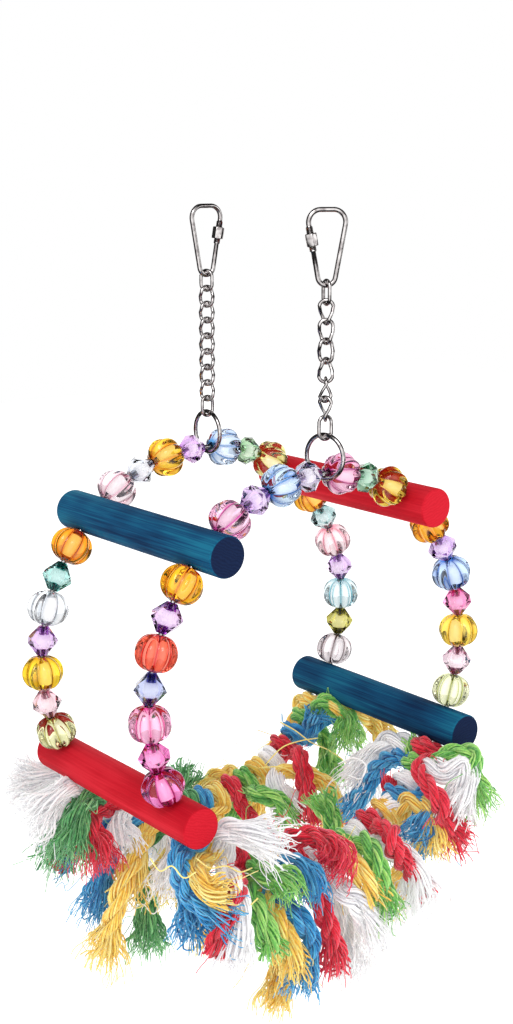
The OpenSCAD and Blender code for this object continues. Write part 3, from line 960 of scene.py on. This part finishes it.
for arc, word in enumerate(ARCS):
    for i, (pale, deep) in enumerate(FACETS[arc]):
        bead = copy_to(template, f"facet_bead_{word}_{i + 1}_clear",
                       bead_place(arc, 2 * i + 1, FACET_LEN, random.uniform(0, 60)))
        bead.data.materials[0] = tinted_acrylic(f"cut_acrylic_{word}_{i + 1}", pale, deep)
        finish_piece(bead, bead.name, "drum", "facet_" + FACET_SLOTS[arc], "facet_beads_" + word)
print("faceted beads:", len(ARCS) * 3, "faces each:", len(template.data.polygons))
drop(template)

# %% [markdown]
# ## Cotton rope
# The floor of the swing is 36 lengths of three-strand cotton rope, folded over the bottoms of
# the hoops and frayed at both ends. Every yarn takes the dye a little differently, so each has
# a tone of its own, painted on its mesh, and the colour runs along it; the cores inside the
# strands get the darkest tone, which is painted shade. A faint painted glow, an emission in the
# dye's own colour, lifts the cotton and its shade between the yarns towards the bright studio
# of the photograph. The back hoop's green is a deeper one.


# %% Cotton
def dyed_cotton(name, dark, middle, light, glow=0.06):
    # Painted light: the emission in the dye's own colour lifts the shade between the yarns
    material, tree, shader = new_material(
        name, Roughness=0.95, Specular_IOR_Level=0.15, Sheen_Weight=0.3, Sheen_Roughness=0.6,
        Subsurface_Weight=0.35, Subsurface_Radius=(1, 1, 1), Subsurface_Scale=0.0012,
        Emission_Strength=glow)
    tone = add_node(tree, "Attribute", attribute_name="tone").outputs["Fac"]
    mottle = spread(tree, grain(tree, 500), -0.22, 0.22, 0.3, 0.7)
    total = add_node(tree, "Math", tone, mottle, operation="ADD", use_clamp=True)
    dye = ramp(tree, total, (0.05, dark), (0.5, middle), (0.9, light))
    set_node(tree, shader, Base_Color=dye, Emission_Color=dye)
    bump(tree, shader, grain(tree, 3500), 0.5, 0.0003)
    return material


DYES = {
    "red": ((172, 6, 36), (222, 20, 48), (240, 54, 76)),
    "yellow": ((234, 170, 54), (255, 212, 90), (255, 234, 140)),
    # White cotton has the strongest painted glow
    "white": ((216, 215, 221), (249, 248, 249), (255, 255, 255), 0.1),
    "blue": ((18, 88, 150), (36, 142, 202), (86, 176, 222)),
    "green": ((56, 138, 60), (118, 196, 86), (172, 224, 118)),
    "emerald": ((28, 98, 52), (76, 158, 90), (128, 198, 126)),
}
COTTONS = {name: dyed_cotton("rope_" + name, *dye) for name, dye in DYES.items()}
print("cottons:", list(COTTONS))

# %% [markdown]
# A rope length starts as a smooth line: up one leg, over the wire and down the other leg. Where
# the photograph shows a leg, the line goes through the places behind its pixels, at a growing
# reach from the fold; a leg that is hidden hangs outward and down by itself.

# %% Lines that the ropes follow
ROPE_R, SADDLE_R, TUFT_STEP, STEP = 4.35, 5.65, 5.99755, 1.6
NECK, SADDLE_ROOM, SAG = 4, 6, 6
OUTER_SWING, INNER_SWING, SIDE_LEAN, DOWN_LEAN = (0.15, 0.75), (0.6, 1.4), 0.25, -0.25
box_low = np.array(cad_box[0]) / MM + (-2, 9, -2)
box_high = np.array(cad_box[1]) / MM + 2


def tuft_place(side, k):
    return on_hoop(side, LOWER_DOWEL + along(DOWEL_D) / 2 + (k + 0.5) * TUFT_STEP)


def read_pixels(text):
    return [tuple(map(float, pixel.split(","))) for pixel in text.split()]


def behind_pixel(u, v, root, reach, near):
    """The place seen at a pixel of the photograph, at a reach from the root."""
    ray = (look + right * ((u - PHOTO_SIZE[0] / 2) / FOCUS_PX)
           - up * ((v - PHOTO_SIZE[1] / 2) / FOCUS_PX)).normalized()
    closest = eye + ray * (root - eye).dot(ray)
    spare = reach ** 2 - (closest - root).length_squared
    return closest + ray * ((-1 if near else 1) * math.sqrt(max(0, spare)))


def leg_places(place, side, outer, leg, rng):
    """Places along one leg, from the fold to the tip, in mm."""
    root, outward = place.translation, place.col[2].xyz
    across = Vector((0, side if outer else -side, 0))
    reach, pixels = abs(leg[1]), leg[2]
    near = leg[1] < 0 or outer == (side < 0)
    if not pixels:
        swing = rng.uniform(*(OUTER_SWING if outer else INNER_SWING))
        lean = Vector((rng.uniform(-SIDE_LEAN, SIDE_LEAN), 0, DOWN_LEAN))
        run = (outward + across * swing + lean).normalized()
        return [list((root + run * (reach * MM * f) + Vector((0, 0, -SAG * MM)) * f * f) / MM)
                for f in (0.35, 0.7, 1)]
    places, first = [], SADDLE_R + SADDLE_ROOM
    for j, (u, v, *own_reach) in enumerate(pixels, 1):
        grown = first + (reach - first) * j / len(pixels) if len(pixels) > 1 else reach
        r = own_reach[0] if own_reach else grown
        places.append(list(behind_pixel(u, v, root, r * MM, near) / MM))
    return places


def folded_points(side, k, outer_leg, inner_leg, rng):
    place = tuft_place(side, k)
    root, outward = np.array(place.translation) / MM, np.array(place.col[2].xyz)
    across = np.array((0, side, 0))
    fold = [root + SADDLE_R * (across * math.cos(a) - outward * math.sin(a))
            for a in np.radians((0, 45, 90, 135, 180))]
    outer = leg_places(place, side, True, outer_leg, rng)
    inner = leg_places(place, side, False, inner_leg, rng)
    neck = outward * NECK
    points = np.array([*outer[::-1], fold[0] + neck, *fold, fold[-1] + neck, *inner])
    return np.clip(points, box_low, box_high)


def clear_of_dowels(points, room):
    """Moves what would lie in a lower dowel, or nearer than the room, out to its surface."""
    for angle in (-LOWER_DOWEL, LOWER_DOWEL):
        centre = np.array(on_hoop(1, angle).translation)[[0, 2]] / MM
        off = points[..., [0, 2]] - centre
        away = np.linalg.norm(off, axis=-1, keepdims=True)
        beside = np.abs(points[..., 1:2]) < DOWEL_LEN / 2 + room
        points[..., [0, 2]] = centre + off * np.where(
            beside, np.maximum(1, (DOWEL_D / 2 + room) / away), 1)
    return points


def on_line(line, places, s):
    """The spots at the distances s on a line whose points are at the given places."""
    return np.stack([np.interp(s, places, line[:, c]) for c in range(3)], -1)


def smooth_line(points, step):
    """Evenly spaced places on a smooth curve through the points."""
    gaps = np.sqrt(np.maximum(np.linalg.norm(np.diff(points, axis=0), axis=1), 0.5))
    knots = np.concatenate([[0], np.cumsum(gaps)])
    slopes = np.gradient(points, knots, axis=0)
    t = np.linspace(0, knots[-1], 900)
    i = np.clip(np.searchsorted(knots, t, side="right") - 1, 0, len(points) - 2)
    h = (knots[i + 1] - knots[i])[:, None]
    f = (t - knots[i])[:, None] / h
    curve = ((2 * f ** 3 - 3 * f ** 2 + 1) * points[i] + (f ** 3 - 2 * f ** 2 + f) * h * slopes[i]
             + (3 * f ** 2 - 2 * f ** 3) * points[i + 1] + (f ** 3 - f ** 2) * h * slopes[i + 1])
    run = np.concatenate([[0], np.cumsum(np.linalg.norm(np.diff(curve, axis=0), axis=1))])
    even = np.linspace(0, run[-1], int(run[-1] / step) + 2)
    return on_line(curve, run, even), run[-1]


# %% [markdown]
# Three strands are laid round that line, each of eleven yarns round a core. The yarns turn
# against the strands, so that they run along the rope, as in the real lay. Towards a tip the
# lay opens: the yarns fan out, curl, sag, and end at different lengths.

# %% Yarns
YARNS, YARN_R, CORE_R, FINE_R, LOOSE_R = 11, 0.5, 1.5, 0.25, 0.36
FRAY_RUN, FRAY_MORE, FRAY_WIDER, FRAY_YARNS, STRAYS = 13, 7, 2.1, 110, 8
FOLD_HALF, CORE_SHORT, CUT_UNEVEN = 22, 4, 6
YARN_CURL, YARN_SAG, FINE_CURL, FINE_SAG, CURL_RUN = 0.9, 3, 1.5, 3.4, (9, 18)
STRAY_REACH, STRAY_BOW, STRAY_SAG, STRAY_WAVE = (6, 22), 7, 7, 2.4
LAYS = {"red": 32, "blue": 34, "green": 36, "emerald": 40, "yellow": 46, "white": 70}
LOFTS = {"red": 0.3, "blue": 0.3, "green": 0.3, "emerald": 0.4, "yellow": 0.3, "white": 0.5}
STRAND_OUT, YARN_OUT, THIRD = 0.52 * ROPE_R, 0.4 * ROPE_R, math.tau / 3


def carried_frames(lines):
    """Directions along and across each line, carried without twist."""
    run = np.gradient(lines, axis=1)
    run /= np.linalg.norm(run, axis=2, keepdims=True) + 1e-9
    least = np.eye(3)[np.argmin(np.abs(run[:, 0]), axis=1)]
    side, sides = np.cross(run[:, 0], least), []
    for k in range(lines.shape[1]):
        t = run[:, k]
        side = side - t * np.sum(side * t, axis=1, keepdims=True)
        side /= np.linalg.norm(side, axis=1, keepdims=True) + 1e-9
        sides.append(side)
    sides = np.stack(sides, 1)
    return run, sides, np.cross(run, sides)


def tubes(lines, radii, sides, tones):
    """Round threads along the lines, closed at both ends."""
    many, places = lines.shape[:2]
    across, other = carried_frames(lines)[1:]
    turn = np.arange(sides) * math.tau / sides
    spoke = across[:, :, None] * np.cos(turn)[:, None] + other[:, :, None] * np.sin(turn)[:, None]
    rings = lines[:, :, None] + radii[:, :, None, None] * spoke
    first = (np.arange(many) * places * sides)[:, None, None]
    ring = (np.arange(places - 1) * sides)[None, :, None]
    a, b = np.arange(sides), (np.arange(sides) + 1) % sides
    quads = np.stack([first + ring + a, first + ring + b, first + ring + b + sides,
                      first + ring + a + sides], -1).reshape(-1, 4)
    start = first[:, 0] + a[::-1]
    end = first[:, 0] + (places - 1) * sides + a
    tone = np.broadcast_to(tones[:, None, None], (many, places, sides))
    return rings.reshape(-1, 3), [*quads.tolist(), *start.tolist(), *end.tolist()], tone.ravel()


def fray_run(fray):
    return FRAY_RUN + FRAY_MORE * fray


def rope_threads(line, length, frays, turn_length, loft, rng):
    """All the threads of one rope length: (lines, radii, sides, tones) groups."""
    n = len(line)
    axis_s = np.linspace(0, length, n)
    frame_run, frame_side, frame_other = (f[0] for f in carried_frames(line[None]))
    turns = math.tau / turn_length

    def openness(s):
        return sum(fray * np.clip(1 - from_tip / fray_run(fray), 0, 1) ** 1.3
                   for fray, from_tip in zip(frays, (s, length - s)))

    def leg_share(s):
        return np.clip(np.abs(s - length / 2) / FOLD_HALF - 0.5, 0, 1)

    def place(s, x, y, curl, sag):
        """Threads at x and y from the line's middle, which spread, curl and sag at a tip."""
        opened = openness(s)
        grow = (1 + loft * leg_share(s) + FRAY_WIDER * opened)[..., None]
        many = len(s)
        drift = rng.normal(0, 1, (many, 1, 3))
        wave = rng.normal(0, 1, (many, 1, 3))
        phase = (rng.uniform(0, math.tau, (many, 1))
                 + s * (math.tau / rng.uniform(*CURL_RUN, (many, 1))))
        spot = on_line(line, axis_s, s) + grow * (on_line(frame_side, axis_s, s) * x[..., None]
                                                  + on_line(frame_other, axis_s, s) * y[..., None])
        spot += (opened ** 1.5)[..., None] * curl * (drift + wave * np.sin(phase)[..., None])
        spot[..., 2] -= sag * opened ** 2
        return clear_of_dowels(spot, YARN_R), opened

    many = 3 * YARNS
    cut = [rng.uniform(0, 1 + CUT_UNEVEN * fray, many) for fray in frays]
    s = cut[0][:, None] + (length - cut[0] - cut[1])[:, None] * np.linspace(0, 1, n)[None]
    strand = np.repeat(np.arange(3), YARNS)[:, None]
    lay = s * turns + strand * THIRD
    back = ((np.arange(many) % YARNS)[:, None] * (math.tau / YARNS)
            - s * (turns * STRAND_OUT / YARN_OUT) + rng.normal(0, 0.12, (many, 1)))
    loose = 1 + rng.normal(0, 0.06, (many, 1))
    x = STRAND_OUT * np.cos(lay) + YARN_OUT * loose * np.cos(back)
    y = STRAND_OUT * np.sin(lay) + YARN_OUT * loose * np.sin(back)
    yarns, opened = place(s, x, y, YARN_CURL, YARN_SAG)
    thick = YARN_R * (1.06 + 0.8 * loft * leg_share(s) - 0.42 * np.clip(opened, 0, 1))
    groups = [(yarns, thick, 3, rng.uniform(0.15, 0.95, many))]

    short = [CORE_SHORT + 8 * fray for fray in frays]
    s = np.linspace(short[0], length - short[1], n)[None].repeat(3, 0)
    lay = s * turns + np.arange(3)[:, None] * THIRD
    cores, opened = place(s, STRAND_OUT * np.cos(lay), STRAND_OUT * np.sin(lay), 0, 0)
    # Painted shade: the strand cores, hidden between the yarns, take the darkest tone, 0.15
    groups.append((cores, CORE_R * (1 - 0.6 * np.clip(opened, 0, 1)), 6, np.full(3, 0.15)))

    for tip, fray, tip_run in zip((0, 1), frays, (-frame_run[0], frame_run[-1])):
        many = int(FRAY_YARNS * fray)
        if many < 6:
            continue
        reach = fray_run(fray) * 1.15
        from_tip = reach - (reach + rng.uniform(-7, 3, (many, 1))) * np.linspace(0, 1, 14)[None]
        s = np.clip(length - from_tip if tip else from_tip, 0, length)
        out, turn = ROPE_R * rng.uniform(0.1, 0.95, (many, 1)), rng.uniform(0, math.tau, (many, 1))
        fine, opened = place(s, out * np.cos(turn), out * np.sin(turn), FINE_CURL, FINE_SAG)
        fine = fine - np.minimum(0, from_tip)[..., None] * tip_run
        groups.append((fine, np.full(fine.shape[:2], FINE_R), 3, rng.uniform(0.2, 1, many)))
    return groups


def stray_threads(line, many, rng):
    """Single yarns that have worked loose, curling away from the rope."""
    n = 30
    roots = on_line(line, np.linspace(0, 1, len(line)), rng.uniform(0.05, 0.95, many))
    t = np.linspace(0, 1, n)[None, :, None]
    run = rng.normal(0, 1, (many, 1, 3))
    run /= np.linalg.norm(run, axis=2, keepdims=True)
    bow, wave = rng.normal(0, 1, (2, many, 1, 3))
    reach = rng.uniform(*STRAY_REACH, (many, 1, 1))
    spot = (roots[:, None] + t * reach * run + bow * STRAY_BOW * t ** 2
            + wave * STRAY_WAVE * np.sin(t * rng.uniform(7, 18, (many, 1, 1))) * t)
    spot[..., 2] -= STRAY_SAG * t[..., 0] ** 2
    return clear_of_dowels(spot, YARN_R), np.full((many, n), FINE_R), 3, rng.uniform(0.4, 1, many)


def cotton_piece(name, colour, groups):
    """One piece of all the threads in the groups, each with its tone painted on it."""
    verts, faces, tones = [], [], []
    for group in groups:
        points, quads, tone = tubes(*group)
        base = sum(len(v) for v in verts)
        verts.append(points)
        tones.append(tone)
        faces += [[i + base for i in face] for face in quads]
    mesh = bpy.data.meshes.new(name)
    mesh.from_pydata(np.concatenate(verts) * MM, [], faces)
    mesh.attributes.new("tone", "FLOAT", "POINT").data.foreach_set("value", np.concatenate(tones))
    mesh.polygons.foreach_set("use_smooth", np.ones(len(faces), dtype=bool))
    mesh.materials.append(COTTONS[colour])
    piece = add_to_scene(bpy.data.objects.new(name, mesh))
    node = "rope_" + ("green" if colour == "emerald" else colour)
    finish_piece(piece, name, "drum", node, node)
    return piece


# %% [markdown]
# The layout was read off the photograph, tuft by tuft, from the lower right dowel round to the
# lower left one. Each row is a colour, then the leg outside the hoops, then the leg inside:
# how far its tip is frayed, its reach in mm, and the pixels that it passes. A minus before the
# reach marks a leg that lies towards the camera, over its neighbours. A third number at a pixel
# is the reach there, where a leg bows out more or less than the others.

# %% Where the ropes lie
LAYOUT = {
    "front": """
red 1 54 418,768,24 440,800,44 460,825,54 476,846,58 | .4 20 424,738
green 1 54 440,757 458,751 475,756 487,775 505,815 | .4 22 415,738
white .9 54 432,765 446,774 465,763 481,778 480,828 | 1.3 56 415,760 403,744 391,741 375,752 355,784
blue .9 50 420,795,16 432,806,22 425,822,26 412,842,32 | .7 54 412,768 400,757 382,764 365,790 345,818
yellow .9 52 410,800,16 428,815,26 441,856,40 | .8 56 402,826 412,850 398,888
red .05 58 378,826,22 392,833,36 408,846,50 424,861,58 440,877,62 453,893,64 459,912,64 | .4 34 392,800 395,775
white 1.3 56 385,845,18 415,868,36 438,912,56 | .15 40 376,822 392,803 404,818 402,838
green .9 54 365,840 385,868 405,925 | .6 38 332,820 318,790
yellow .7 44 345,850 360,874 386,904 | .8 58 352,862 376,884 404,902
white 1.2 66 338,885 352,900 374,910 412,948 | 1.1 60 326,880 344,925 352,972
red .7 64 318,900 338,945 352,982 | 1 -48 290,840 320,838 340,858 348,876
blue .8 68 272,890 306,925 328,955 316,1000 | 1 -44 290,862 308,876 322,904
yellow .9 58 272,905 288,942 305,978 | .8 72 268,905 280,960 272,1008
green .6 50 252,895 264,925 280,958 | .8 -42 262,872 288,884 304,902
red .05 50 236,890,34 224,926,46 212,956,54 | .7 44 252,848 268,826
white 1.1 64 236,890 246,930 250,975 | 1.2 -58 224,832 250,834 278,842 308,852
yellow .6 44 195,870 212,890 242,896 | .9 52 202,885 212,915 214,948
blue 1.1 46 178,858 190,895 215,910 242,918 | .9 44 184,880 190,905 192,936
""",
    "back": """
yellow .4 44 303,700 296,722 284,744 270,756 | .5 42 335,703 356,712 374,722 389,742
green 1 44 312,728 325,738 331,782 | 1 34 322,702 345,714 348,744
blue .5 42 330,716 358,726 | .5 24 320,708
red .05 34 292,748 268,764 | .6 46 300,755 306,790 313,822
white .7 36 262,772 248,790 | .9 34 276,785 292,814
yellow .6 44 | 1 46 290,770 326,786 336,806 328,832
green .6 44 | .7 34 256,794 278,800 289,824
red .7 40 228,800 230,822 | .7 40
yellow .7 50 238,776 216,777 200,792 182,826 | 1.1 60 200,828 170,858 152,894
blue 1 50 188,836 160,856 | .9 52 196,836 184,866 196,900
emerald .9 42 182,788 186,764 | 1.1 78 152,836,30 138,852,40 146,896,54 148,946,70
white 1.2 50 158,828 142,858 | 1.1 54 178,848 168,892
yellow 1.3 -50 138,850,34 126,888,48 | 1.2 80 140,850 122,888 104,954
blue .9 50 96,836 56,856 | 1.2 60 118,838,26 104,872,42 94,910,58
white .9 42 110,816 104,840 | .8 40 120,828,24 126,850,34
red .05 52 88,822 72,850 54,866 | 1.1 44 92,818,26 98,844,38 102,864,44
emerald 1.1 50 76,800 50,862 | 1.2 46 82,806 66,852
white 1.3 46 60,772 34,776 8,770 | 1.3 46 68,788 46,806 26,822
""",
}


def read_leg(text):
    fray, reach, *pixels = text.split()
    return float(fray), float(reach), read_pixels(" ".join(pixels))


rng = np.random.default_rng(7)
total = 0
for word, side in SIDES.items():
    for k, row in enumerate(LAYOUT[word].strip().splitlines()):
        colour, rest = row.split(" ", 1)
        outer, inner = (read_leg(part) for part in rest.split("|"))
        line, length = smooth_line(folded_points(side, k, outer, inner, rng), STEP)
        line = clear_of_dowels(line, ROPE_R * 0.7)
        threads = rope_threads(line, length, (outer[0], inner[0]), LAYS[colour],
                               LOFTS[colour], rng)
        threads.append(stray_threads(line, STRAYS, rng))
        rope = cotton_piece(f"rope_{word}_{k + 1:02d}_{colour}", colour, threads)
        total += len(rope.data.polygons)
    print(word, "rope lengths:", k + 1, "faces so far:", total)

# %% [markdown]
# A few single yarns have come right out of the lay and trail over the ropes in long curls.
# They lie on top, so their places are measured from a fold and taken on the camera's side.

# %% Long loose threads
THREADS = [
    ("yellow", "back", 2, 22, "280,722 296,731 309,741 330,751 343,760 351,770"),
    ("yellow", "back", 3, 24, "318,738 300,741 283,747 268,762 258,779 252,796"),
    ("yellow", "back", 4, 24, "259,768 281,767 297,775 304,786 299,795 292,792 294,786"),
    ("white", "front", 7, 30, "360,858 366,876 378,890 394,896 406,889 402,877"),
    ("white", "front", 3, 26, "338,764 352,758 366,766 362,778 350,776"),
    ("yellow", "back", 13, 40, "120,868 132,880 146,874 160,884 172,878 178,888"),
    ("yellow", "back", 11, 40, "135,905 148,898 160,906 172,898 182,905"),
    ("yellow", "front", 16, 26, "196,858 210,868 226,866 240,872 252,868"),
    ("red", "back", 15, 34, "86,812 78,824 76,838 72,850 77,860"),
    ("yellow", "back", 13, 46, "100,892 112,903 124,898 136,908 150,901"),
    ("white", "back", 13, 46, "116,902 128,912 142,904 153,914 160,908"),
    ("yellow", "front", 17, 30, "150,858 160,871 172,866 184,878 196,872"),
    ("yellow", "front", 14, 40, "226,878 240,890 234,900 248,906 258,898"),
    ("white", "front", 12, 36, "262,858 270,874 286,870 292,884 284,892"),
]
for k, (colour, word, tuft, reach, pixels) in enumerate(THREADS, 1):
    root = tuft_place(SIDES[word], tuft).translation
    spots = [behind_pixel(u, v, root, reach * MM, True) / MM for u, v in read_pixels(pixels)]
    line = smooth_line(np.array([list(spot) for spot in spots]), 1.2)[0]
    thread = line[None], np.full((1, len(line)), LOOSE_R), 5, np.array([0.85])
    cotton_piece(f"loose_thread_{k}_{colour}", colour, [thread])
print("loose threads:", len(THREADS))
